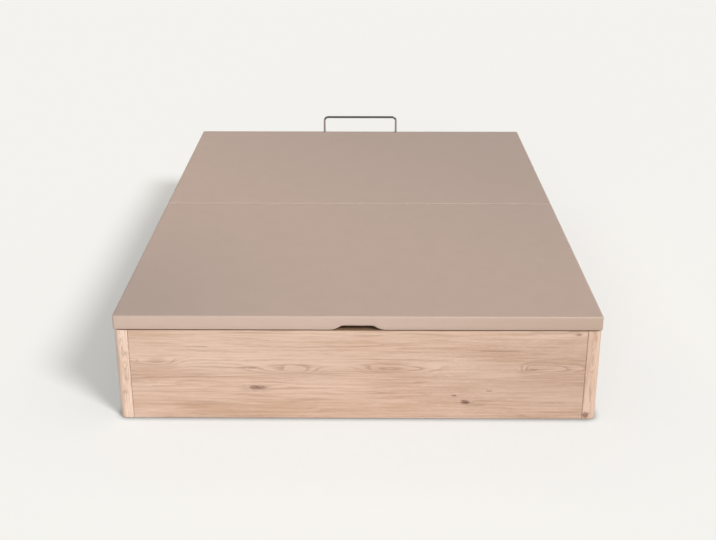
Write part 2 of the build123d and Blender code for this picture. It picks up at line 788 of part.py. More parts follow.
# Lid: bolts and nuts through the middle rails
with BuildPart() as join_bolts:
    rod(join_frames, join_bolt_radius, join_span + join_nut_height + join_bolt_end)
    rod(join_frames, join_head_radius, join_head_height, -join_head_height)
save(join_bolts, "joining_bolts")
with BuildPart() as join_nuts:
    with BuildSketch(Plane.XZ.offset(-frame_joint - rail_width)):
        with Locations(*[(x, rail_middle) for x in join_bolt_places]):
            RegularPolygon(join_nut_size / 2, 6, major_radius=False)
            Circle(join_bolt_radius + running_clearance, mode=Mode.SUBTRACT)
    extrude(amount=-join_nut_height)
save(join_nuts, "joining_nuts")

# Mattress stop: one bent rod, its legs threaded below the rear rail
flange_bottom = rail_bottom + stop_counterbore_depth - stop_flange_height
nut_bottom = flange_bottom - stop_nut_height
stop_bottom = nut_bottom - stop_thread_end
stop_top = lid_top + stop_height - stop_rod_radius
with BuildPart() as mattress_stop:
    with BuildLine(Plane.XZ.offset(-stop_y)) as stop_path:
        FilletPolyline(
            (-stop_leg_x, stop_bottom),
            (-stop_leg_x, stop_top),
            (stop_leg_x, stop_top),
            (stop_leg_x, stop_bottom),
            radius=stop_bend_radius,
        )
    with BuildSketch(Plane((-stop_leg_x, stop_y, stop_bottom))):
        Circle(stop_rod_radius)
    sweep(path=stop_path.wires()[0])
save(mattress_stop, "mattress_stop")

# Mattress stop: flange nuts in the counterbores of the rear rail
with BuildPart() as stop_nuts:
    with BuildSketch(Plane.XY.offset(nut_bottom)):
        with Locations(*[(side * stop_leg_x, stop_y) for side in both]):
            RegularPolygon(stop_nut_size / 2, 6, major_radius=False)
    extrude(amount=stop_nut_height)
    with BuildSketch(Plane.XY.offset(flange_bottom)):
        with Locations(*[(side * stop_leg_x, stop_y) for side in both]):
            Circle(stop_flange_radius)
    extrude(amount=stop_flange_height)
    bore(stop_frames, stop_rod_radius + running_clearance, rail_height)
save(stop_nuts, "stop_nuts")
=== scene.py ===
import math

import bmesh
import bpy
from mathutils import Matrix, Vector, noise


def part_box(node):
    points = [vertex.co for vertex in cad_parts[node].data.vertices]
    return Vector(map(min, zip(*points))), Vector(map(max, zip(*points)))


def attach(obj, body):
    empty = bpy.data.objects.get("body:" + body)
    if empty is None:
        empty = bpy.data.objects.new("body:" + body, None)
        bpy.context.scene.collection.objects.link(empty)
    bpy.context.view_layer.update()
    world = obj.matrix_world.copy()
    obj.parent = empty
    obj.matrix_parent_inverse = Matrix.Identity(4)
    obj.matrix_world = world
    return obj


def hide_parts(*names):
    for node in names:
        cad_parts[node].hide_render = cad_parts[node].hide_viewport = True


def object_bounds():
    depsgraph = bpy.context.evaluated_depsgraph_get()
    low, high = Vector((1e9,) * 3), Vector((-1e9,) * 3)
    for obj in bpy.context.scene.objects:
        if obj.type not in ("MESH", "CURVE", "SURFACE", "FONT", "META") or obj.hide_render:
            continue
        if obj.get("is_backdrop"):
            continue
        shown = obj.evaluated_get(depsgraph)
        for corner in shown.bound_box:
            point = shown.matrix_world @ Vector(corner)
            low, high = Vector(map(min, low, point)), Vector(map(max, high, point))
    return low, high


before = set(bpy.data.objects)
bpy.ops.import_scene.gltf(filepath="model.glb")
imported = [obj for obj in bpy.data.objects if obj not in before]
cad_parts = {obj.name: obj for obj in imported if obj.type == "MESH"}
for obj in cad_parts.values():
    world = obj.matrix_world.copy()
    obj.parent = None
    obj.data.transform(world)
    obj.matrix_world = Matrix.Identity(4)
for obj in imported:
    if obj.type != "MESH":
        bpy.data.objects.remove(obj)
cad_low, cad_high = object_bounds()

# Front and rear panels: particle board faced with an oak-look laminate whose grain runs
# across the bed. Each is cut square and stands between two corner posts, held by
# dowels and cam locks.
oak_pale = (232, 201, 179)
oak_tan = (193, 154, 127)
oak_late_wood = (159, 118, 91)
# Painted shade of the lid on the upper edges of the boards.
oak_edge_shade = (142, 114, 88)
oak_glue = (138, 102, 78)
oak_knot = (112, 80, 62)
oak_ring_width = 0.014
oak_roughness = (0.58, 0.46)
# Each row of the front panel: where it lies along the panel and above the floor, its half
# length and half height, how many rings it lifts, how dark its heart is, and how much
# longer its tail is than its nose. A negative half length turns the nose to the left. Most
# rows are eyes; the last two are painted shade, with wide faint hearts over the right end
# and along the middle height.
front_eyes = [
    (-0.185, 0.175, 0.070, 0.020, 3.0, 0.0, 2.2),
    (0.090, 0.177, -0.080, 0.018, 2.6, 0.0, 2.2),
    (0.545, 0.176, -0.042, 0.024, 3.6, 0.0, 5.0),
    (0.532, 0.178, -0.016, 0.008, 0.0, 0.40, 2.4),
    (-0.612, 0.199, 0.060, 0.016, 2.4, 0.0, 1.6),
    (-0.322, 0.112, -0.020, 0.008, 1.6, 0.80, 2.2),
    (-0.315, 0.110, 0.060, 0.016, 0.0, 0.22, 1.0),
    (0.338, 0.061, 0.015, 0.009, 1.6, 0.95, 1.3),
    (0.372, 0.052, 0.045, 0.010, 0.0, 0.30, 1.0),
    (0.303, 0.085, 0.008, 0.004, 1.0, 0.75, 1.5),
    (0.413, 0.102, 0.010, 0.004, 0.8, 0.50, 1.5),
    (0.679, 0.300, 0.009, 0.005, 1.0, 0.60, 1.5),
    (-0.330, 0.182, 0.034, 0.005, 0.0, 0.42, 1.6),
    (0.450, 0.242, 0.070, 0.003, 0.0, 0.34, 1.4),
    (0.600, 0.060, 0.060, 0.003, 0.0, 0.36, 1.2),
    (-0.490, 0.255, 0.045, 0.003, 0.0, 0.34, 1.2),
    (-0.470, 0.060, 0.060, 0.003, 0.0, 0.26, 1.5),
    # Painted shade: darker over the right end, and along the middle height.
    (0.660, 0.120, 0.300, 0.200, 0.0, 0.16, 1.8),
    (0.000, 0.165, 1.500, 0.040, 0.0, 0.06, 1.0),
]
rear_eyes = [
    (0.310, 0.190, 0.080, 0.019, 2.8, 0.0, 2.4),
    (-0.420, 0.120, -0.060, 0.017, 2.2, 0.0, 2.0),
    (-0.060, 0.085, 0.020, 0.007, 1.6, 0.80, 1.6),
]


def paint(colour):
    """A colour in the 255 steps of a screen, as the linear colour that a shader takes."""
    steps = [value / 255 for value in colour]
    linear = [s / 12.92 if s <= 0.04045 else ((s + 0.055) / 1.055) ** 2.4 for s in steps]
    return (*linear, 1.0)


def feed(node, inputs):
    """Give a node's inputs their plain values, or link them to the sockets given."""
    for socket, source in inputs.items():
        if isinstance(source, bpy.types.NodeSocket):
            node.id_data.links.new(source, node.inputs[socket])
        else:
            node.inputs[socket].default_value = source
    return node


def place(tree, kind, inputs=None, **settings):
    """Add a node with its settings and inputs."""
    node = tree.nodes.new(kind)
    for name, value in settings.items():
        setattr(node, name, value)
    return feed(node, inputs or {})


def result(kind, inputs, **settings):
    """The first output of a node added to the tree that its inputs come from."""
    tree = next(s.id_data for s in inputs.values() if isinstance(s, bpy.types.NodeSocket))
    return place(tree, kind, inputs, **settings).outputs[0]


def maths(operation, *values):
    """The result of a Math node."""
    return result("ShaderNodeMath", dict(enumerate(values)), operation=operation)


def times(first, second, plus=None):
    """The product of two values, with a third added to it where one is given."""
    if plus is None:
        return maths("MULTIPLY", first, second)
    return maths("MULTIPLY_ADD", first, second, plus)


def ramp(value, low, high, to_low=0.0, to_high=1.0):
    """A value carried smoothly from one range to another, and held at the ends."""
    inputs = {0: value, 1: low, 2: high, 3: to_low, 4: to_high}
    return result("ShaderNodeMapRange", inputs, interpolation_type="SMOOTHSTEP")


def tint(factor, first, second):
    """Two colours mixed by a factor."""
    inputs = {0: factor, 6: first, 7: second}
    return place(factor.id_data, "ShaderNodeMix", inputs, data_type="RGBA").outputs[2]


def relief(height, distance, strength=1.0):
    """A Bump node's normal, for a relief of the given depth in metres."""
    return result("ShaderNodeBump", {"Height": height, "Distance": distance, "Strength": strength})


def vector(x, y, z):
    """Three values as one vector."""
    return result("ShaderNodeCombineXYZ", {0: x, 1: y, 2: z})


def grain_noise(along, across, seed, along_scale, across_scale, detail=2.0):
    """Noise drawn out along the grain, mostly between -1 and 1."""
    where = vector(times(along, along_scale), times(across, across_scale), seed)
    sample = result("ShaderNodeTexNoise", {"Vector": where, "Scale": 1.0, "Detail": detail})
    return times(sample, 4.0, -2.0)


def new_group(name, inputs, outputs):
    """An empty shader node group with named inputs and outputs."""
    tree = bpy.data.node_groups.new(name, "ShaderNodeTree")
    for label, value in inputs.items():
        kind = "NodeSocketVector" if isinstance(value, tuple) else "NodeSocketFloat"
        socket = tree.interface.new_socket(label, in_out="INPUT", socket_type=kind)
        socket.default_value = value
    for label in outputs:
        tree.interface.new_socket(label, in_out="OUTPUT", socket_type="NodeSocketFloat")
    given = tree.nodes.new("NodeGroupInput").outputs
    return tree, given, tree.nodes.new("NodeGroupOutput")


eye_fray = 0.55
heart_core = (0.25, 0.80)
heart_core_share = 0.6


def use_group(tree, group, inputs):
    """The outputs of a node group placed in a tree."""
    return place(tree, "ShaderNodeGroup", inputs, node_tree=group).outputs


def bell(first, second):
    """A smooth hump over two distances: its logarithm and its height."""
    fall = maths("ADD", maths("POWER", first, 2.0), maths("POWER", second, 2.0))
    fall = times(fall, -1.0)
    return fall, maths("EXPONENT", fall)


def make_wood_eye():
    """One eye of the grain: the rings run round its nose, and a dark heart may sit in it."""
    sizes = {"Along": 0.0, "Across": 0.0, "Centre along": 0.0, "Centre across": 0.0}
    sizes |= {"Half length": 0.05, "Half height": 0.02, "Tail": 1.0, "Lift": 1.0, "Heart": 0.0}
    sizes |= {"Fray": 0.0, "Lifts before": 0.0, "Hearts before": 0.0}
    tree, given, made = new_group("wood_eye", sizes, ["Lifts", "Hearts"])
    reach = maths("SUBTRACT", given["Along"], given["Centre along"])
    reach = maths("DIVIDE", reach, given["Half length"])
    behind = maths("DIVIDE", maths("MINIMUM", reach, 0.0), given["Tail"])
    reach = maths("ADD", maths("MAXIMUM", reach, 0.0), behind)
    rise = maths("SUBTRACT", given["Across"], given["Centre across"])
    rise = maths("DIVIDE", rise, given["Half height"])
    fall, hump = bell(rise, reach)
    ragged = times(given["Fray"], -eye_fray, fall)
    heart = maths("MINIMUM", maths("EXPONENT", ragged), 1.0)
    rest = times(heart, 1.0 - heart_core_share)
    heart = times(ramp(heart, *heart_core), heart_core_share, rest)
    lifts = times(hump, given["Lift"], given["Lifts before"])
    hearts = maths("MAXIMUM", times(heart, given["Heart"]), given["Hearts before"])
    feed(made, {"Lifts": lifts, "Hearts": hearts})
    return tree


# Noises of the figure: changes in a metre along and across the grain, and finer layers.
slow_waver = (1.7, 16.0, 1.0)
quick_waver = (9.0, 70.0, 2.0)
ring_depth = (3.2, 1.0, 1.0)
veins = (3.4, 210.0, 1.0)
streaks = (5.5, 150.0, 4.0)
hairs = (26.0, 520.0, 2.0)
pore_lines = (60.0, 1500.0, 1.0)
slow_tone = (1.7, 11.0, 2.0)
late_growth = (0.35, 0.93)
winter_edge = (1.0, 0.95)
vein_strength = 0.75
ring_step = 3.7


def make_wood_figure():
    """The figure of flat-sawn wood: late-wood rings, fibre, pores and a slow change of tone."""
    sizes = {"Along": 0.0, "Across": 0.0, "Seed": 0.0, "Ring width": 0.01}
    sizes |= {"Waver": 1.0, "Lifts": 0.0}
    tree, given, made = new_group("wood_figure", sizes, ["Rings", "Fibre", "Pores", "Tone"])
    along, across, seed, ring_width, waver, lifts = [given[label] for label in sizes]
    spot = (along, across, seed)
    slow = grain_noise(*spot, *slow_waver)
    quick = grain_noise(*spot, *quick_waver)
    bend = times(times(quick, 0.3, times(slow, 1.2)), waver)
    field = maths("DIVIDE", across, ring_width)
    field = maths("ADD", maths("ADD", field, lifts), bend)
    phase = maths("FRACT", field)
    number = times(maths("FLOOR", field), ring_step, seed)
    late = times(ramp(phase, *late_growth), ramp(phase, *winter_edge))
    strength = grain_noise(along, number, seed, *ring_depth)
    strength = ramp(strength, -0.4, 1.1, 0.06, 1.0)
    strength = maths("MAXIMUM", strength, ramp(lifts, 0.1, 1.6))
    vein = maths("ADD", across, times(lifts, ring_width))
    vein = times(bend, ring_width, vein)
    vein = ramp(grain_noise(along, vein, seed, *veins), 0.55, 1.15)
    rings = maths("MAXIMUM", times(late, strength), times(vein, vein_strength))
    streak = grain_noise(*spot, *streaks)
    fibre = times(streak, 0.85, times(grain_noise(*spot, *hairs), 0.5))
    pores = ramp(grain_noise(*spot, *pore_lines), 0.55, 1.1)
    pores = times(pores, ramp(late, 0.0, 1.0, 0.4, 1.0))
    tone = grain_noise(*spot, *slow_tone)
    feed(made, {"Rings": rings, "Fibre": fibre, "Pores": pores, "Tone": tone})
    return tree


wood_eye = make_wood_eye()
wood_figure = make_wood_figure()


def new_material(name):
    """A new material, its node tree and its shader."""
    material = bpy.data.materials.new(name)
    material.use_nodes = True
    return material, material.node_tree, material.node_tree.nodes["Principled BSDF"]


def measure(tree, direction, outwards=False):
    """How far a point lies along a direction, or, outwards, from the middle of the base."""
    spot = place(tree, "ShaderNodeTexCoord").outputs["Object"]
    if outwards:
        spot = result("ShaderNodeVectorMath", {0: spot}, operation="ABSOLUTE")
    inputs = {0: spot, 1: direction}
    return place(tree, "ShaderNodeVectorMath", inputs, operation="DOT_PRODUCT").outputs["Value"]


ring_tint = 0.55
fibre_dark = 0.6
fibre_light = 0.5
pore_tint = 0.35
edge_shade_depth = (0.0005, 0.0002)
glue_line = (0.0026, 0.0014)
glue_tint = 0.8
fray_grain = (60.0, 260.0, 3.0)
grain_depth = 0.00012


def wood(name, grain, figure, colours, eyes=(), edge=None, ends=None):
    """Wood from its grain (along, across, seed, face), ring width and waver, colours and eyes.

    The edge gives the height and colour of painted shade along the upper edge, where the lid
    shades it, and ends how far from the middle the board ends along its grain, where the glue
    line of its edging shows.
    """
    material, tree, shader = new_material(name)
    along, seed = measure(tree, grain[0]), measure(tree, grain[2])
    across = maths("SUBTRACT", measure(tree, grain[1], True), grain[3])
    ring_width, waver = figure
    pale, tan, late_wood, knot = [paint(colour) for colour in colours]
    lifts, hearts = 0.0, 0.0
    frayed = grain_noise(along, across, seed, *fray_grain)
    spot = {"Along": along, "Across": across}
    for x, z, half_length, half_height, lift, heart, tail in eyes:
        sizes = {**spot, "Centre along": x, "Centre across": z, "Tail": tail}
        sizes |= {"Half length": half_length, "Half height": half_height, "Lift": lift}
        sizes |= {"Heart": heart, "Fray": frayed, "Lifts before": lifts, "Hearts before": hearts}
        lifts, hearts = use_group(tree, wood_eye, sizes)
    sizes = {**spot, "Seed": seed, "Ring width": ring_width, "Waver": waver, "Lifts": lifts}
    shown = use_group(tree, wood_figure, sizes)
    colour = tint(ramp(shown["Tone"], -1.0, 1.0, 0.1, 0.75), pale, tan)
    colour = tint(times(shown["Rings"], ring_tint), colour, late_wood)
    colour = tint(ramp(shown["Fibre"], -0.1, 0.9, 0.0, fibre_dark), colour, tan)
    colour = tint(ramp(shown["Fibre"], 0.2, -0.9, 0.0, fibre_light), colour, pale)
    colour = tint(times(shown["Pores"], pore_tint), colour, late_wood)
    if eyes:
        colour = tint(hearts, colour, knot)
    # Painted shade: the upper edge is darkened, as the lid shades it.
    if edge:
        top, edge_shade_colour = edge
        edge_shaded = ramp(measure(tree, (0, 0, 1)), *[top - depth for depth in edge_shade_depth])
        colour = tint(edge_shaded, colour, paint(edge_shade_colour))
    if ends:
        line = [ends - depth for depth in glue_line]
        line = ramp(measure(tree, grain[0], True), *line, 0.0, glue_tint)
        colour = tint(line, colour, paint(oak_glue))
    dents = times(shown["Pores"], -1.0, times(shown["Fibre"], 0.25))
    feed(shader, {
        "Base Color": colour,
        "Roughness": ramp(shown["Fibre"], -1.0, 1.0, *oak_roughness),
        "Normal": relief(dents, grain_depth, 0.6),
    })
    return material


def dress(material, *names):
    """Give CAD nodes their material."""
    for name in names:
        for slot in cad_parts[name].material_slots:
            slot.material = material


oak_colours = (oak_pale, oak_tan, oak_late_wood, oak_knot)
edge_share = 0.6
end_grain = ((1, 0, 0), (0, edge_share, 1), (0, 2, 0), edge_share * cad_high.y)
# The upper edges of the boards take painted shade, for the shade under the lid.
box_edge_shade = (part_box("front_panel")[1].z, oak_edge_shade)
low_edge_shade = (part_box("rear_panel")[1].z, oak_edge_shade)
panel_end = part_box("front_panel")[1].x
end_figure = (oak_ring_width, 1.0)
oak_front = wood("oak_front", end_grain, end_figure, oak_colours, front_eyes, box_edge_shade, panel_end)
oak_rear = wood("oak_rear", end_grain, end_figure, oak_colours, rear_eyes, low_edge_shade, panel_end)
dress(oak_front, "front_panel")
dress(oak_rear, "rear_panel")

# Side panels: the same laminated board, with its grain running along the bed. They carry
# the hinge plates on their inner faces.
side_grain = ((0, 1, 0), (edge_share, 0, 1), (2, 0, 0), edge_share * cad_high.x)
side_eyes = [
    (-0.520, 0.170, 0.090, 0.020, 2.8, 0.0, 2.4),
    (0.250, 0.130, -0.080, 0.018, 2.6, 0.0, 2.2),
    (0.640, 0.220, 0.022, 0.007, 1.6, 0.80, 1.6),
    (-0.130, 0.075, 0.016, 0.006, 1.4, 0.70, 1.6),
]
side_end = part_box("side_panel_left")[1].y
side_figure = (oak_ring_width, 1.1)
oak_side = wood("oak_side", side_grain, side_figure, oak_colours, side_eyes, box_edge_shade, side_end)
dress(oak_side, "side_panel_left", "side_panel_right")

# Corner posts: laminate wrapped round a post with a rounded outer corner, its grain
# upright. The foot of the front right post shows a small dark knot.
post_figure = (0.0085, 2.2)
post_stretch = 2.2
post_grain = ((0, 0, post_stretch), (1, -1, 0), (2, 3, 0), cad_high.x - cad_high.y)
post_eyes = [
    (0.260 * post_stretch, -0.026, 0.100, 0.010, 2.2, 0.0, 1.0),
    (0.175 * post_stretch, -0.030, -0.090, 0.010, 2.4, 0.0, 1.4),
    (0.080 * post_stretch, -0.020, 0.080, 0.009, 2.0, 0.0, 1.2),
    (0.232 * post_stretch, -0.034, 0.016, 0.007, 0.8, 0.20, 1.4),
    (0.142 * post_stretch, -0.030, 0.014, 0.006, 0.7, 0.18, 1.4),
    (0.096 * post_stretch, -0.024, 0.016, 0.008, 0.8, 0.22, 1.4),
]
post_knot = [
    (0.018 * post_stretch, -0.032, 0.022, 0.012, 1.2, 0.78, 1.5),
    (0.200 * post_stretch, -0.026, 0.110, 0.010, 2.4, 0.0, 1.0),
]
# Paler than the panels' oak: painted light, for the light that the rounded left post catches.
post_colours_painted_light = ((250, 222, 201), (218, 183, 157), (180, 140, 112), oak_knot)
oak_post = wood("oak_post", post_grain, post_figure, post_colours_painted_light, post_eyes, box_edge_shade)
oak_knotty = wood("oak_knotty_post", post_grain, post_figure, oak_colours, post_knot, box_edge_shade)
dress(oak_post, "corner_post_front_left", "corner_post_rear_left", "corner_post_rear_right")
dress(oak_knotty, "corner_post_front_right")

# Dowels, cam bolts and cam locks of the corner joints: beech dowels, and zinc-plated
# steel and die-cast fittings, sunk in the ends and the inner faces of the panels.
beech_colours = ((226, 190, 148), (212, 172, 128), (186, 140, 98), (150, 104, 70))
zinc_grey = (186, 188, 192)
zinc_dull = (150, 152, 156)


def make_speckle():
    """A fine uneven skin, as on cast, moulded or powder-coated parts, over slow patches."""
    sizes = {"Grain size": 0.001, "Patch size": 0.02}
    tree, given, made = new_group("speckle", sizes, ["Skin", "Patches"])
    spot = place(tree, "ShaderNodeTexCoord").outputs["Object"]
    for size, label, detail in (("Grain size", "Skin", 2.0), ("Patch size", "Patches", 3.0)):
        scale = maths("DIVIDE", 1.0, given[size])
        sample = result("ShaderNodeTexNoise", {"Vector": spot, "Scale": scale, "Detail": detail})
        feed(made, {label: ramp(sample, 0.3, 0.7)})
    return tree


speckle = make_speckle()


def coated(name, colours, roughness, sizes=(0.001, 0.02), depth=0.00005, metallic=0.0, coat=0.0):
    """A painted, plated or moulded finish with a fine skin and slow patches of tone."""
    material, tree, shader = new_material(name)
    inputs = {"Grain size": sizes[0], "Patch size": sizes[1]}
    skin = use_group(tree, speckle, inputs)
    feed(shader, {
        "Base Color": tint(skin["Patches"], *[paint(colour) for colour in colours]),
        "Roughness": ramp(skin["Patches"], 0.0, 1.0, roughness * 0.85, roughness * 1.15),
        "Metallic": metallic,
        "Coat Weight": coat,
        "Normal": relief(skin["Skin"], depth),
    })
    return material


beech = wood("beech", ((1, 1, 0), (0, 0, 1), (3, 5, 0), 0.0), (0.004, 0.6), beech_colours)
zinc = coated("zinc", (zinc_grey, zinc_dull), 0.34, (0.0006, 0.006), 0.00002, metallic=1.0)
dress(beech, "corner_dowels")
dress(zinc, "cam_bolts", "cam_locks")

# Floor of the storage space: planed pine ledgers along the panels, three boards with a
# pale melamine face, and two pine battens under their joints.
pine_colours = ((233, 206, 160), (222, 188, 138), (190, 142, 90), (120, 78, 48))
melamine_colours = ((232, 227, 218), (229, 223, 213))
pine_figure = (0.005, 1.2)
across_grain = ((1, 0, 0), (0, 0.7, 0.7), (0, 9, 0), 0.0)
along_grain = ((0, 1, 0), (0.7, 0, 0.7), (9, 0, 0), 0.0)
pine_across = wood("pine_across", across_grain, pine_figure, pine_colours)
pine_along = wood("pine_along", along_grain, pine_figure, pine_colours)
melamine = coated("melamine", melamine_colours, 0.45, (0.0007, 0.05), 0.00004)
dress(pine_across, "ledger_front", "ledger_rear", "floor_batten_front", "floor_batten_rear")
dress(pine_along, "ledger_left", "ledger_right")
dress(melamine, "floor_board_front", "floor_board_middle", "floor_board_rear")

# Feet: black plastic glides under the panels and posts, moulded feet under the battens,
# and soft rubber bumpers stuck on the top edge of the box.
foot_black = coated("foot_plastic", ((46, 45, 44), (38, 37, 36)), 0.5, (0.0008, 0.01))
bumper_grey = coated("bumper_rubber", ((58, 57, 56), (46, 45, 45)), 0.75, (0.0005, 0.008))
dress(foot_black, "glides", "batten_feet")
dress(bumper_grey, "lid_bumpers")

# Floor-board screws: zinc-plated cross-head screws that hold the boards to the ledgers
# and battens. Their heads lie on the melamine.
board_screw_sizes = {"Head radius": 0.0038, "Head height": 0.0014, "Shank radius": 0.0017}
board_screw_sizes |= {"Length": 0.020, "Recess width": 0.0009, "Skew": math.pi}
board_screw_inset = 0.010
board_screw_spacing = 0.36
joint_screw_inset = 0.015
side_screw_rows = (-0.78, -0.42, -0.15, 0.15, 0.42, 0.78)


def new_tree(name, sizes):
    """An empty Geometry Nodes tree with named sizes and a material among its inputs."""
    tree = bpy.data.node_groups.new(name, "GeometryNodeTree")
    tree.is_modifier = True
    sockets = [("Geometry", "INPUT", "Geometry"), *[(label, "INPUT", "Float") for label in sizes]]
    sockets += [("Material", "INPUT", "Material"), ("Geometry", "OUTPUT", "Geometry")]
    for label, way, kind in sockets:
        tree.interface.new_socket(label, in_out=way, socket_type="NodeSocket" + kind)
    given = tree.nodes.new("NodeGroupInput").outputs
    return tree, given, tree.nodes.new("NodeGroupOutput")


def spread(given, made, points, shape, turn, seed):
    """Put the shape on each point, turned by up to the skew about its own upright axis."""
    inputs = {"Points": points, "Instance": shape, "Rotation": turn}
    copies = result("GeometryNodeInstanceOnPoints", inputs)
    inputs = {2: times(given["Skew"], -1.0), 3: given["Skew"], "Seed": seed}
    random = place(copies.id_data, "FunctionNodeRandomValue", inputs, data_type="FLOAT")
    inputs = {"Instances": copies, "Rotation": vector(0.0, 0.0, random.outputs[1])}
    copies = result("GeometryNodeRotateInstances", {**inputs, "Local Space": True})
    solid = result("GeometryNodeRealizeInstances", {0: copies})
    inputs = {"Geometry": solid, "Material": given["Material"]}
    feed(made, {"Geometry": result("GeometryNodeSetMaterial", inputs)})


def drum(tree, start, length, low_radius, high_radius, sides):
    """A round length along +Z, from a start height."""
    inputs = {"Vertices": sides, "Depth": length}
    inputs |= {"Radius Bottom": low_radius, "Radius Top": high_radius}
    solid = place(tree, "GeometryNodeMeshCone", inputs).outputs["Mesh"]
    lift = place(tree, "ShaderNodeCombineXYZ", {2: start}).outputs[0]
    return result("GeometryNodeTransform", {"Geometry": solid, "Translation": lift})


rim_share = 0.45
crown_share = 0.62
tip_share = 0.3
head_sides = 24
shank_sides = 12
recess_reach = 1.1
recess_depth = 1.2
screw_seed = 7


def make_cross_head_screw():
    """Screws on points: a domed head with a cross recess above the point, and a shank below."""
    tree, given, made = new_tree("cross_head_screw", board_screw_sizes)
    radius, height, shank_radius, length, slot_width = [
        given[label] for label in board_screw_sizes if label != "Skew"
    ]
    rim = times(height, rim_share)
    dome = times(height, 1.0 - rim_share)
    crown = times(radius, crown_share)
    tip = times(shank_radius, tip_share)
    low = drum(tree, 0.0, rim, radius, radius, head_sides)
    high = drum(tree, rim, dome, radius, crown, head_sides)
    bottom = times(length, -1.0)
    reach = maths("ADD", length, times(rim, 0.5))
    shank = drum(tree, bottom, reach, tip, shank_radius, shank_sides)
    solid = place(tree, "GeometryNodeMeshBoolean", operation="UNION")
    for part in (low, high, shank):
        tree.links.new(part, solid.inputs["Mesh 2"])
    arm = times(radius, recess_reach)
    deep = times(height, recess_depth)
    inputs = {"Mesh 1": solid.outputs[0]}
    recess = place(tree, "GeometryNodeMeshBoolean", inputs, operation="DIFFERENCE")
    for size in ((arm, slot_width, deep), (slot_width, arm, deep)):
        slot = result("GeometryNodeMeshCube", {"Size": vector(*size)})
        lift = vector(0.0, 0.0, height)
        slot = result("GeometryNodeTransform", {"Geometry": slot, "Translation": lift})
        tree.links.new(slot, recess.inputs["Mesh 2"])
    inputs = {"Name": "aim"}
    aim = place(tree, "GeometryNodeInputNamedAttribute", inputs, data_type="FLOAT_VECTOR")
    turn = result("FunctionNodeAlignRotationToVector", {"Vector": aim.outputs[0]}, axis="Z")
    points = result("GeometryNodeMeshToPoints", {0: given["Geometry"]})
    spread(given, made, points, recess.outputs[0], turn, screw_seed)
    return tree


def put_in_scene(name, data):
    """A new object in the scene, for a mesh, a lamp or a camera."""
    item = bpy.data.objects.new(name, data)
    bpy.context.scene.collection.objects.link(item)
    return item


def finished_mesh(item):
    """The mesh that an object's modifiers make of it."""
    bpy.context.view_layer.update()
    evaluated = item.evaluated_get(bpy.context.evaluated_depsgraph_get())
    return bpy.data.meshes.new_from_object(evaluated)


def grow(name, points, edges, tree, sizes, material, aims=None):
    """A plain mesh object, made by a tree from points and the edges between them."""
    mesh = bpy.data.meshes.new(name + "_places")
    mesh.from_pydata(points, edges, [])
    if aims:
        attribute = mesh.attributes.new("aim", "FLOAT_VECTOR", "POINT")
        for item, aim in zip(attribute.data, aims):
            item.vector = aim
    source = put_in_scene(name + "_places", mesh)
    modifier = source.modifiers.new(name, "NODES")
    modifier.node_group = tree
    values = {**sizes, "Material": material}
    for item in tree.interface.items_tree:
        if item.in_out == "INPUT" and item.name in values:
            modifier[item.identifier] = values[item.name]
    solid = finished_mesh(source)
    bpy.data.objects.remove(source)
    solid.name = name
    return put_in_scene(name, solid)


cross_head_screw = make_cross_head_screw()
floor_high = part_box("floor_board_front")[1]
rows_x = floor_high.x - board_screw_inset
batten_low, batten_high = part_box("floor_batten_rear")
batten_y = (batten_low.y + batten_high.y) / 2
rear_row_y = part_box("floor_board_rear")[1].y - board_screw_inset
joint_rows = (batten_y - joint_screw_inset, batten_y + joint_screw_inset)
board_screw_places = []
for row_y in (-rear_row_y, -joint_rows[1], -joint_rows[0], *joint_rows, rear_row_y):
    for step in (-1.5, -0.5, 0.5, 1.5):
        board_screw_places.append((step * board_screw_spacing, row_y, floor_high.z))
for side in (-1, 1):
    for row_y in side_screw_rows:
        board_screw_places.append((side * rows_x, row_y, floor_high.z))
board_screws = grow(
    "floor_board_screws", board_screw_places, [], cross_head_screw, board_screw_sizes, zinc,
    [(0, 0, 1)] * len(board_screw_places),
)
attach(board_screws, "base")

# Hinge plates: laser-cut steel with a black powder coat, an upright and a leg screwed to
# the side panel, and a neck that carries the hinge pin above the rear post.
powder_black = coated("powder_black", ((30, 30, 31), (22, 22, 23)), 0.42, (0.0009, 0.04), 0.00008)
dress(powder_black, "hinge_plate_left", "hinge_plate_right")
dress(zinc, "hinge_pins", "lower_strut_studs")

# Hinge-plate screws: five zinc-plated pan-head screws in each plate, driven into the side
# panel. Seats and sizes are those of the CAD screws.
screw_head_height = 0.0022
screw_recess_width = 0.0011


def separate_boxes(node):
    """The lowest and highest corner of each separate solid of a CAD node."""
    merged = bmesh.new()
    merged.from_mesh(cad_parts[node].data)
    bmesh.ops.remove_doubles(merged, verts=merged.verts, dist=0.00001)
    left = set(merged.verts)
    boxes = []
    while left:
        island, edge = set(), [left.pop()]
        while edge:
            point = edge.pop()
            island.add(point)
            for link in point.link_edges:
                other = link.other_vert(point)
                if other in left:
                    left.remove(other)
                    edge.append(other)
        corners = [[pick(v.co[axis] for v in island) for axis in range(3)] for pick in (min, max)]
        boxes.append([Vector(corner) for corner in corners])
    merged.free()
    return sorted(boxes, key=lambda box: tuple(round(value, 4) for value in box[0]))


def side_screws(name, node, body, shank_radius):
    """Cross-head screws in place of a CAD node's, driven outwards into the sides."""
    seats, aims = [], []
    for low, high in separate_boxes(node):
        inward = -1 if low.x > 0 else 1
        head = low.x if low.x > 0 else high.x
        middle = (low + high) / 2
        seats.append((head - inward * screw_head_height, middle.y, middle.z))
        aims.append((inward, 0, 0))
    sizes = {"Head radius": (high.z - low.z) / 2, "Head height": screw_head_height}
    sizes |= {"Shank radius": shank_radius, "Length": high.x - low.x - screw_head_height}
    sizes |= {"Recess width": screw_recess_width, "Skew": math.pi}
    piece = grow(name, seats, [], cross_head_screw, sizes, zinc, aims)
    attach(piece, body)
    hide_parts(node)


side_screws("hinge_plate_cross_heads", "hinge_plate_screws", "base", 0.0025)

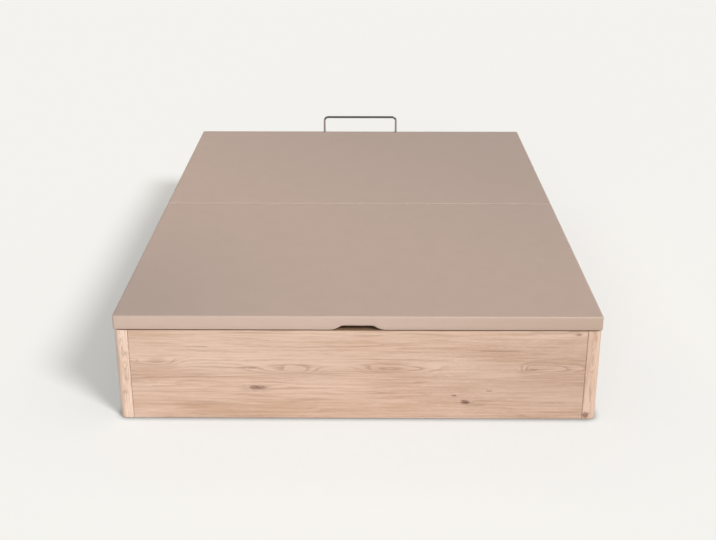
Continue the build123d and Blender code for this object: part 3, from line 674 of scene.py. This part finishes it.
# Gas struts: a satin black steel tube, a hard-chromed rod that slides in it, and moulded
# black eyes screwed on both ends, which turn on zinc-plated studs.
strut_blacks = ((24, 24, 25), (20, 20, 21))
strut_black = coated("strut_paint", strut_blacks, 0.26, (0.002, 0.05), 0.00002, coat=0.2)
chromes = ((214, 216, 220), (196, 198, 203))
rod_chrome = coated("rod_chrome", chromes, 0.09, (0.0005, 0.02), 0.000004, metallic=1.0)
eye_black = coated("eye_plastic", ((32, 32, 33), (25, 25, 26)), 0.48, (0.0008, 0.01), 0.00004)
for hand in ("left", "right"):
    dress(strut_black, f"strut_tube_{hand}")
    dress(rod_chrome, f"strut_rod_{hand}")
    dress(eye_black, f"strut_rod_eye_{hand}", f"strut_tube_eye_{hand}")

# Lid frame: planed pine rails round each half-lid and across its middle, glued and
# stapled to the chipboard sheet above them.
dress(pine_across, "lid_rail_front", "lid_rail_rear")
for part in ("foot", "head"):
    dress(pine_across, f"lid_rail_middle_{part}", f"lid_rail_cross_{part}")
    dress(pine_along, f"lid_rail_side_{part}_left", f"lid_rail_side_{part}_right")

# Lid boards: raw chipboard, pressed flakes of pale wood with darker ones among them.
flake_size = 0.004
flake_pale = (214, 188, 148)
flake_tan = (190, 158, 114)
flake_dark = (142, 108, 72)


def make_chipboard():
    """Raw chipboard: a mosaic of flakes, each with its own tone."""
    material, tree, shader = new_material("chipboard")
    spot = place(tree, "ShaderNodeTexCoord").outputs["Object"]
    inputs = {"Vector": spot, "Scale": 1 / flake_size, "Randomness": 1.0}
    cells = place(tree, "ShaderNodeTexVoronoi", inputs).outputs
    tone = place(tree, "ShaderNodeSeparateColor", {0: cells["Color"]}).outputs
    colour = tint(tone[0], paint(flake_pale), paint(flake_tan))
    colour = tint(ramp(tone[1], 0.8, 1.0, 0.0, 0.8), colour, paint(flake_dark))
    feed(shader, {
        "Base Color": colour,
        "Roughness": ramp(tone[2], 0.0, 1.0, 0.75, 0.9),
        "Normal": relief(cells["Distance"], 0.0002),
    })
    return material


dress(make_chipboard(), "lid_board_foot", "lid_board_head")

# Side bars: flat steel with the same powder coat, screwed to the side rails. They join
# the half-lids, and their rear ends swing on the hinge pins.
dress(powder_black, "lid_side_bar_left", "lid_side_bar_right")
dress(zinc, "upper_strut_studs", "joining_bolts", "joining_nuts", "stop_nuts")
side_screws("side_bar_cross_heads", "lid_bar_screws", "lid", 0.00225)

# Linings: a sheet of black non-woven stapled under the rails of each half-lid, cut out at
# the notch, the hinges and the struts. It hangs a little between the rails.
lining_thickness = 0.0008
lining_sag = 0.0025
lining_step = 0.04
lining_black = (44, 43, 45)
lining_grey = (66, 64, 66)


def make_lining_cloth():
    """Black non-woven: short fibres pressed together with no weave."""
    material, tree, shader = new_material("lining_cloth")
    spot = place(tree, "ShaderNodeTexCoord").outputs["Object"]
    fibres = []
    for seed, stretch in ((0.0, (260, 1400, 1)), (5.0, (1400, 260, 1))):
        moved = result("ShaderNodeVectorMath", {0: spot, 1: stretch}, operation="MULTIPLY")
        moved = result("ShaderNodeVectorMath", {0: moved, 1: (seed, seed, seed)})
        sample = result("ShaderNodeTexNoise", {"Vector": moved, "Scale": 1.0, "Detail": 3.0})
        fibres.append(ramp(sample, 0.35, 0.7))
    felt = maths("MAXIMUM", *fibres)
    feed(shader, {
        "Base Color": tint(felt, paint(lining_black), paint(lining_grey)),
        "Roughness": ramp(felt, 0.0, 1.0, 0.95, 0.8),
        "Normal": relief(felt, 0.0002),
    })
    return material


def link_piece(name, mesh, material):
    """An object for a mesh, in its place and with its material."""
    mesh.materials.append(material)
    return put_in_scene(name, mesh)


def cut_across(shape, axis, where):
    """Cut a mesh through, square to X or Y."""
    spot, normal = Vector((0, 0, 0)), Vector((0, 0, 0))
    spot[axis], normal[axis] = where, 1
    everything = shape.verts[:] + shape.edges[:] + shape.faces[:]
    bmesh.ops.bisect_plane(shape, geom=everything, plane_co=spot, plane_no=normal)


def cut_in_grid(shape, low, high, step):
    """Cut a mesh along even lines in X and Y, so that it can take a soft form."""
    for axis in (0, 1):
        count = max(1, round((high[axis] - low[axis]) / step))
        for index in range(1, count):
            cut_across(shape, axis, low[axis] + (high[axis] - low[axis]) * index / count)
    bmesh.ops.remove_doubles(shape, verts=shape.verts, dist=0.0001)


def thicken(piece, thickness, offset, group="", hem_share=0.0):
    """Give a cloth its thickness and leave a plain mesh."""
    modifier = piece.modifiers.new("thickness", "SOLIDIFY")
    modifier.thickness = thickness
    modifier.offset = offset
    if group:
        modifier.vertex_group = group
        modifier.thickness_vertex_group = hem_share
    mesh = finished_mesh(piece)
    piece.modifiers.clear()
    piece.vertex_groups.clear()
    piece.data = mesh


lining_cloth = make_lining_cloth()
lid_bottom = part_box("lid_lining_foot")[0].z
for part in ("foot", "head"):
    low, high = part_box(f"lid_lining_{part}")
    rail_y = sorted(abs(value) for value in (low.y, high.y))
    cloth = bmesh.new()
    cloth.from_mesh(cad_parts[f"lid_lining_{part}"].data)
    bmesh.ops.remove_doubles(cloth, verts=cloth.verts, dist=0.00001)
    upper = [face for face in cloth.faces if face.normal.z > -0.9]
    bmesh.ops.delete(cloth, geom=upper, context="FACES")
    bmesh.ops.dissolve_limit(cloth, angle_limit=0.01, verts=cloth.verts, edges=cloth.edges)
    cut_in_grid(cloth, low, high, lining_step)
    bays = (rail_y[1] - rail_y[0]) / 2
    for vert in cloth.verts:
        across = math.sin(math.pi * (vert.co.x - low.x) / (high.x - low.x))
        lengthwise = math.sin(math.pi * (abs(vert.co.y) - rail_y[0]) / bays)
        ripple = 0.8 + 0.2 * noise.noise(vert.co * 9)
        drop = lining_sag * across ** 0.5 * lengthwise**2 * ripple if across > 0 else 0.0
        vert.co.z = lid_bottom - drop
    mesh = bpy.data.meshes.new(f"lining_cloth_{part}")
    cloth.to_mesh(mesh)
    cloth.free()
    mesh.shade_smooth()
    lining = link_piece(f"lining_{part}", mesh, lining_cloth)
    thicken(lining, lining_thickness, -1)
    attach(lining, "lid")
    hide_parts(f"lid_lining_{part}")

# Covers: one cut of beige upholstery cloth on a thin wadding, pulled tight over each
# half-lid, turned in under its rails and stapled there. At the foot end it follows the
# grip notch into the rail.
cover_low, cover_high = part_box("lid_cover_foot")
half_width = cover_high.x
far_end = -cover_low.y
near_end = -cover_high.y
lid_top = cover_high.z
cloth_thickness = 0.0024
hem_width = 0.025
hem_middle = 0.012
hem_share = 0.38
side_rows = (0.34, 0.67)
top_round = 0.004
bottom_round = 0.003
corner_round = 0.006
joint_round = 0.003
corner_steps = 6
least_round = 0.0005
top_ring = 0.014
cloth_step = 0.03
notch_bottom = 0.143
notch_top = 0.097
notch_height = 0.0145
notch_foot_round = 0.055
notch_head_round = 0.015
notch_hem = 0.032
pocket_x = (0.699, 0.725)
weave_pitch = 0.0024
cloth_colour = (209, 184, 168)
cloth_dark = (184, 160, 145)
cloth_light = (222, 199, 184)
cloth_top_shade = (186, 167, 156)
cloth_side_shade = (190, 163, 143)
painted_shade_depth = 0.6
top_shade_corner = (0.34, 0.55)
cloth_crown = 0.00035


def make_weave():
    """Woven cloth on unfolded coordinates: crossing threads, uneven yarn and slow mottling."""
    sizes = {"Place": (0.0, 0.0, 0.0), "Pitch": 0.002}
    tree, given, made = new_group("weave", sizes, ["Threads", "Yarn", "Mottle"])
    scale = maths("DIVIDE", math.tau, given["Pitch"])
    across, along = place(tree, "ShaderNodeSeparateXYZ", {0: given["Place"]}).outputs[:2]
    warp = maths("SINE", times(across, scale))
    weft = maths("SINE", times(along, scale))
    threads = times(times(warp, weft), 0.5, 0.5)
    warp_yarn = grain_noise(along, across, 1.0, 30.0, 420.0)
    weft_yarn = grain_noise(across, along, 4.0, 30.0, 420.0)
    yarn = times(maths("ADD", warp_yarn, weft_yarn), 0.5)
    mottle = grain_noise(along, across, 9.0, 14.0, 14.0, 3.0)
    feed(made, {"Threads": threads, "Yarn": yarn, "Mottle": mottle})
    return tree


weave = make_weave()


def make_cover_cloth():
    """Beige upholstery cloth with a fine weave, and painted shade on its top and sides."""
    material, tree, shader = new_material("cover_cloth")
    where = place(tree, "ShaderNodeUVMap", uv_map="unfolded").outputs[0]
    cloth = use_group(tree, weave, {"Place": where, "Pitch": weave_pitch})
    dark = paint(cloth_dark)
    colour = tint(ramp(cloth["Mottle"], -1.0, 1.0, 0.0, 0.10), paint(cloth_colour), dark)
    colour = tint(ramp(cloth["Yarn"], 0.1, 1.0, 0.0, 0.3), colour, paint(cloth_light))
    colour = tint(ramp(cloth["Threads"], 0.45, 0.0, 0.0, 0.3), colour, dark)
    x, y, z = [measure(tree, axis) for axis in ((1, 0, 0), (0, 1, 0), (0, 0, 1))]
    # Painted shade on the top: darker near the left corner at the foot and towards the far right.
    aside = maths("DIVIDE", maths("ADD", x, half_width), top_shade_corner[0])
    ahead = maths("DIVIDE", maths("ADD", y, far_end), top_shade_corner[1])
    beyond = ramp(times(x, 0.8, y), -0.5, 1.5)
    top_shade = maths("MAXIMUM", bell(aside, ahead)[1], beyond)
    top_shade = times(top_shade, ramp(z, lid_top - 0.004, lid_top - 0.001, 0.0, painted_shade_depth))
    colour = tint(top_shade, colour, paint(cloth_top_shade))
    # Painted shade on the sides: darker towards the right.
    shaded = times(ramp(x, -0.1, 0.8), ramp(z, lid_top - 0.001, lid_top - 0.006))
    colour = tint(times(shaded, painted_shade_depth), colour, paint(cloth_side_shade))
    height = times(cloth["Yarn"], 0.25, cloth["Threads"])
    feed(shader, {
        "Base Color": colour,
        "Roughness": ramp(cloth["Threads"], 0.0, 1.0, 0.92, 0.8),
        "Normal": relief(height, 0.00025, 0.7),
        "Specular IOR Level": 0.08,
    })
    return material


def notch_rise(x):
    """How far the grip notch lifts the lower edge of the lid at a distance from its middle."""
    lean = math.atan2(notch_height, (notch_bottom - notch_top) / 2)
    foot_reach = notch_foot_round * math.tan(lean / 2)
    head_reach = notch_head_round * math.tan(lean / 2)
    start = notch_bottom / 2 + foot_reach
    foot_turn = notch_bottom / 2 - foot_reach * math.cos(lean)
    head_turn = notch_top / 2 + head_reach * math.cos(lean)
    crown = notch_top / 2 - head_reach
    x = abs(x)
    if x >= start:
        return 0.0
    if x > foot_turn:
        return notch_foot_round - math.sqrt(notch_foot_round**2 - (start - x) ** 2)
    if x > head_turn:
        return (notch_bottom / 2 - x) * math.tan(lean)
    if x > crown:
        return notch_height - notch_head_round + math.sqrt(notch_head_round**2 - (x - crown) ** 2)
    return notch_height


def cover_profile():
    """The cloth from hem to top, as rows of inset, height, unfolded reach and share of notch."""
    height = lid_top - lid_bottom
    rows = [[hem_width, 0.0, 1.0], [hem_middle, 0.0, 1.0]]
    for turn in (0, 45, 90):
        angle = math.radians(turn)
        inset, rise = 1 - math.sin(angle), 1 - math.cos(angle)
        rows.append([bottom_round * inset, bottom_round * rise, 1.0])
    for share in side_rows:
        rows.append([0.0, bottom_round + (height - bottom_round - top_round) * share, 1.0 - share])
    for turn in (0, 22.5, 45, 67.5, 90):
        angle = math.radians(turn)
        inset, drop = 1 - math.cos(angle), 1 - math.sin(angle)
        rows.append([top_round * inset, height - top_round * drop, 0.0])
    rows.append([top_ring, height, 0.0])
    reach = -rows[-1][0]
    profile = []
    for inner, outer in zip(reversed(rows), [rows[-1], *reversed(rows)]):
        reach += math.dist(inner[:2], outer[:2])
        profile.append((inner[0], inner[1], reach, inner[2]))
    return profile[::-1]


def cover_ring(end, inset, reach):
    """One row of the cloth as (place in plan, unfolded place) pairs, going round the half-lid."""
    ring = []
    corners = ((1, far_end), (-1, far_end), (-1, near_end), (1, near_end))
    for index, (side, edge) in enumerate(corners):
        outward = 1 if edge == far_end else -1
        turn = corner_round if edge == far_end else joint_round
        bend = max(turn - inset, least_round)
        drawn_in = max(inset + bend, turn)
        for step in range(corner_steps + 1):
            angle = math.radians(90 * (index + step / corner_steps))
            direction = Vector((math.cos(angle), math.sin(angle)))
            plan = Vector((side * (half_width - drawn_in), edge - outward * drawn_in))
            flat = Vector((side * (half_width - turn), edge - outward * turn))
            ring.append((plan + direction * bend, flat + direction * (turn + reach)))
        if index == 0:
            for x in notch_stations:
                ring.append((Vector((x, edge - inset)), Vector((x, edge + reach))))
    return [(Vector((p.x, end * p.y)), Vector((q.x, end * q.y))) for p, q in ring]


def make_cover(part, end, material):
    """The cloth of one half-lid, as a thin shell with its hem."""
    cloth = bmesh.new()
    unfolded = cloth.loops.layers.uv.new("unfolded")
    places = {}
    rows = []
    for inset, height, reach, notch_share in cover_profile():
        row = []
        for plan, flat in cover_ring(end, inset, reach):
            rise = 0.0
            deeper = 0.0
            if end < 0 and plan.y < -far_end + 2 * hem_width:
                rise = notch_rise(plan.x) * notch_share
                if inset == hem_width:
                    deeper = (notch_hem - hem_width) * notch_rise(plan.x) / notch_height
            vert = cloth.verts.new((plan.x, plan.y - end * deeper, lid_bottom + height + rise))
            places[vert] = flat
            row.append(vert)
        rows.append(row)
    faces = []
    for lower, upper in zip(rows, rows[1:]):
        for index in range(len(lower)):
            after = (index + 1) % len(lower)
            faces.append([lower[index], lower[after], upper[after], upper[index]])
    faces.append(rows[-1])
    for corners in faces:
        face = cloth.faces.new(corners if end > 0 else corners[::-1])
        for loop in face.loops:
            loop[unfolded].uv = places[loop.vert]
    low_y, high_y = sorted((end * near_end, end * far_end))
    cut_in_grid(cloth, (-half_width, low_y), (half_width, high_y), cloth_step)
    if end > 0:
        for side in (-1, 1):
            for x in pocket_x:
                cut_across(cloth, 0, side * x)
        gone = []
        for face in cloth.faces:
            middle = face.calc_center_median()
            in_hem = middle.z < lid_bottom + 0.0001 and middle.y > far_end - hem_width
            if in_hem and pocket_x[0] < abs(middle.x) < pocket_x[1]:
                gone.append(face)
        bmesh.ops.delete(cloth, geom=gone, context="FACES")
    for vert in cloth.verts:
        if vert.co.z > lid_top - 0.0001:
            vert.co.z -= cloth_crown * (0.5 + 0.5 * noise.noise(vert.co * 5))
    mesh = bpy.data.meshes.new(f"cover_{part}")
    cloth.to_mesh(mesh)
    cloth.free()
    mesh.shade_smooth()
    cover = link_piece(f"cover_{part}", mesh, material)
    above_hem = lid_bottom + bottom_round * 0.9
    above = [vert.index for vert in mesh.vertices if vert.co.z > above_hem]
    cover.vertex_groups.new(name="full").add(above, 1.0, "REPLACE")
    thicken(cover, cloth_thickness, -1, "full", hem_share)
    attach(cover, "lid")
    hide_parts(f"lid_cover_{part}")
    turned_in = 2 * (lid_top - lid_bottom + hem_width)
    flat = (2 * half_width + turned_in, far_end - near_end + turned_in)


notch_reach = notch_bottom / 2 + notch_foot_round * 0.3
station_count = 60
half_count = (station_count - 1) / 2
notch_stations = [notch_reach * (1 - step / half_count) for step in range(station_count)]
cover_cloth = make_cover_cloth()
make_cover("foot", -1, cover_cloth)
make_cover("head", 1, cover_cloth)

# Staples: galvanised wire staples along the hems of the covers and the edges of the
# linings, each pressed flat against the cloth.
staple_sizes = {"Spacing": 0.052, "Crown": 0.0095, "Leg": 0.006, "Wire width": 0.0011}
staple_sizes |= {"Wire thickness": 0.0006, "Skew": 0.16}
cover_staple_inset = 0.0215
lining_staple_inset = 0.0295
corner_gap = 0.03
pocket_gap = 0.02
hinge_clearance_y = 0.86
staple_seed = 3


def make_staple_row():
    """Staples along an edge, crown downwards."""
    tree, given, made = new_tree("staple_row", staple_sizes)
    number = place(tree, "GeometryNodeInputIndex").outputs[0]
    half = maths("FLOOR", times(number, 0.5))
    x = times(maths("SUBTRACT", half, 0.5), given["Crown"])
    from_middle = maths("ABSOLUTE", maths("SUBTRACT", number, 1.5))
    at_tip = maths("GREATER_THAN", from_middle, 1.0)
    corner = vector(x, 0.0, times(at_tip, times(given["Leg"], -1.0)))
    wire = place(tree, "GeometryNodeMeshLine", {"Count": 4}).outputs[0]
    wire = result("GeometryNodeSetPosition", {"Geometry": wire, "Position": corner})
    wire = result("GeometryNodeMeshToCurve", {0: wire})
    bend = times(given["Wire thickness"], 1.2)
    inputs = {"Curve": wire, "Radius": bend, "Count": 2}
    wire = result("GeometryNodeFilletCurve", inputs, mode="POLY")
    inputs = {"Width": given["Wire thickness"], "Height": given["Wire width"]}
    section = result("GeometryNodeCurvePrimitiveQuadrilateral", inputs)
    inputs = {"Curve": wire, "Profile Curve": section, "Fill Caps": True}
    staple = result("GeometryNodeCurveToMesh", inputs)
    row = result("GeometryNodeMeshToCurve", {0: given["Geometry"]})
    inputs = {"Curve": row, "Length": given["Spacing"]}
    stops = place(tree, "GeometryNodeCurveToPoints", inputs, mode="LENGTH").outputs
    inputs = {0: (0, 0, -1), 1: stops["Tangent"]}
    turn = result("FunctionNodeAxesToRotation", inputs, primary_axis="Z", secondary_axis="X")
    spread(given, made, stops["Points"], staple, turn, staple_seed)
    return tree


staple_row = make_staple_row()
galvanised = ((190, 190, 188), (160, 160, 158))
staple_steel = coated("staple_steel", galvanised, 0.3, (0.0006, 0.004), 0.00001, metallic=1.0)
for part, end in (("foot", -1), ("head", 1)):
    points, edges = [], []
    for inset in (cover_staple_inset, lining_staple_inset):
        x = half_width - inset
        near, far = end * (near_end + inset), end * (far_end - inset)
        z = lid_bottom - 0.0001
        runs = [((-x, near, z), (x, near, z))]
        if end < 0:
            runs += [((side * x, far, z), (side * notch_bottom, far, z)) for side in (-1, 1)]
        else:
            run_end = pocket_x[0] - pocket_gap
            runs.append(((-run_end, far, z), (run_end, far, z)))
        side_end = far if end < 0 or inset < hem_width else end * hinge_clearance_y
        start, stop = near + end * corner_gap, side_end - end * corner_gap
        runs += [((side * x, start, z), (side * x, stop, z)) for side in (-1, 1)]
        for run in runs:
            edges.append((len(points), len(points) + 1))
            points += run
    staples = grow(f"staples_{part}", points, edges, staple_row, staple_sizes, staple_steel)
    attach(staples, "lid")

# Mattress stop: a bent round steel rod, its legs through the head end of the lid into
# flange nuts under the rear rail. Its bar is painted dark: a painted reflection.
stop_pale = (205, 206, 208)
stop_reflection_dark = (84, 84, 86)
stop_bar_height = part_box("mattress_stop")[1].z
stop_bends = (stop_bar_height - 0.022, stop_bar_height - 0.006)
stop_finish, tree, shader = new_material("stop_finish")
skin = use_group(tree, speckle, {"Grain size": 0.0008, "Patch size": 0.03})
# Painted reflection: the bar above the bends is darkened.
bar = times(skin["Patches"], 0.08, ramp(measure(tree, (0, 0, 1)), *stop_bends))
feed(shader, {
    "Base Color": tint(bar, paint(stop_pale), paint(stop_reflection_dark)),
    "Roughness": ramp(skin["Patches"], 0.0, 1.0, 0.14, 0.2),
    "Metallic": 1.0,
    "Normal": relief(skin["Skin"], 0.000004),
})
dress(stop_finish, "mattress_stop")

# Studio: a wide pale floor, which keeps the shadow of the base, under plain soft light.
# The paper white behind the base is what camera, mirror and glass rays see.
paper_white = (244, 243, 239)
floor_size = 80.0
floor_albedo = 0.65
floor_level = (0.795, 0.807, 0.826)
floor_reach = 0.5
floor_shade_cooling = (0.25, 0.4, 0.55)
contact_reach = 0.025
contact_shade = 0.45
sky_light = (0.25, 0.262, 0.28)


def rays_seen(tree):
    """One for rays from the camera, off a mirror or through glass, and nothing for others."""
    rays = place(tree, "ShaderNodeLightPath").outputs
    seen = maths("MAXIMUM", rays["Is Camera Ray"], rays["Is Glossy Ray"])
    return maths("MAXIMUM", seen, rays["Is Transmission Ray"])


def make_floor():
    """The floor plate with its matt pale finish, and painted shade near the base."""
    material, tree, shader = new_material("studio_floor")
    seen = rays_seen(tree)
    white = paint(paper_white)
    glow = [max(0.0, value - floor_albedo * level) for value, level in zip(white, floor_level)]
    # Painted shade: near the base the glow is dimmed and cooled, and close to it the floor is
    # darkened.
    wide, close = [
        place(tree, "ShaderNodeAmbientOcclusion", {"Distance": reach}, samples=8).outputs["AO"]
        for reach in (floor_reach, contact_reach)
    ]
    painted_contact = ramp(close, 0.5, 1.0, 1.0 - contact_shade, 1.0)
    shaded_albedo = times(floor_albedo, painted_contact)
    shaded = [value * share for value, share in zip(glow, floor_shade_cooling)]
    feed(shader, {
        "Base Color": result("ShaderNodeCombineColor", {0: shaded_albedo, 1: shaded_albedo, 2: shaded_albedo}),
        "Roughness": 1.0,
        "Specular IOR Level": 0.0,
        "Emission Color": tint(wide, (*shaded, 1.0), (*glow, 1.0)),
        "Emission Strength": times(seen, painted_contact),
    })
    far = floor_size / 2
    corners = [(-far, -far, 0), (far, -far, 0), (far, far, 0), (-far, far, 0)]
    mesh = bpy.data.meshes.new("studio_floor")
    mesh.from_pydata(corners, [], [(0, 1, 2, 3)])
    link_piece("studio_floor", mesh, material)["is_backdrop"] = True


def make_world():
    """Even light from all round, with paper white where it is seen."""
    world = bpy.data.worlds.new("studio")
    bpy.context.scene.world = world
    world.use_nodes = True
    sky = tint(rays_seen(world.node_tree), (*sky_light, 1.0), paint(paper_white))
    feed(world.node_tree.nodes["Background"], {"Color": sky})


def make_sun(name, strength, azimuth, elevation, spread_angle):
    """A soft far light, from an azimuth right of the foot end and an elevation."""
    data = bpy.data.lights.new(name, "SUN")
    data.energy = strength
    data.angle = math.radians(spread_angle)
    lamp = put_in_scene(name, data)
    a, e = math.radians(azimuth), math.radians(elevation)
    source = Vector((math.sin(a) * math.cos(e), -math.cos(a) * math.cos(e), math.sin(e)))
    lamp.rotation_euler = source.to_track_quat("Z", "Y").to_euler()


make_floor()
make_world()
make_sun("key", strength=2.29, azimuth=45, elevation=40, spread_angle=16)
make_sun("fill", strength=0.86, azimuth=-10, elevation=15.5, spread_angle=40)

# Camera: the view of the photograph, from the foot end and a little above. Its small
# shift stands for a part of the correction that keeps upright lines upright there.
camera_place = (0.019, -3.751, 1.820)
camera_pitch = 19.41
camera_yaw = 0.36
camera_lens = 51.66
picture_width = 716
picture_shift = -100
camera_data = bpy.data.cameras.new("camera")
camera_data.lens = camera_lens
camera_data.shift_y = picture_shift / picture_width
camera_data.clip_end = 200.0
camera = put_in_scene("camera", camera_data)
camera.location = camera_place
camera.rotation_euler = (math.radians(90 - camera_pitch), 0, math.radians(camera_yaw))
bpy.context.scene.camera = camera
bpy.context.scene.view_settings.view_transform = "Standard"

low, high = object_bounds()
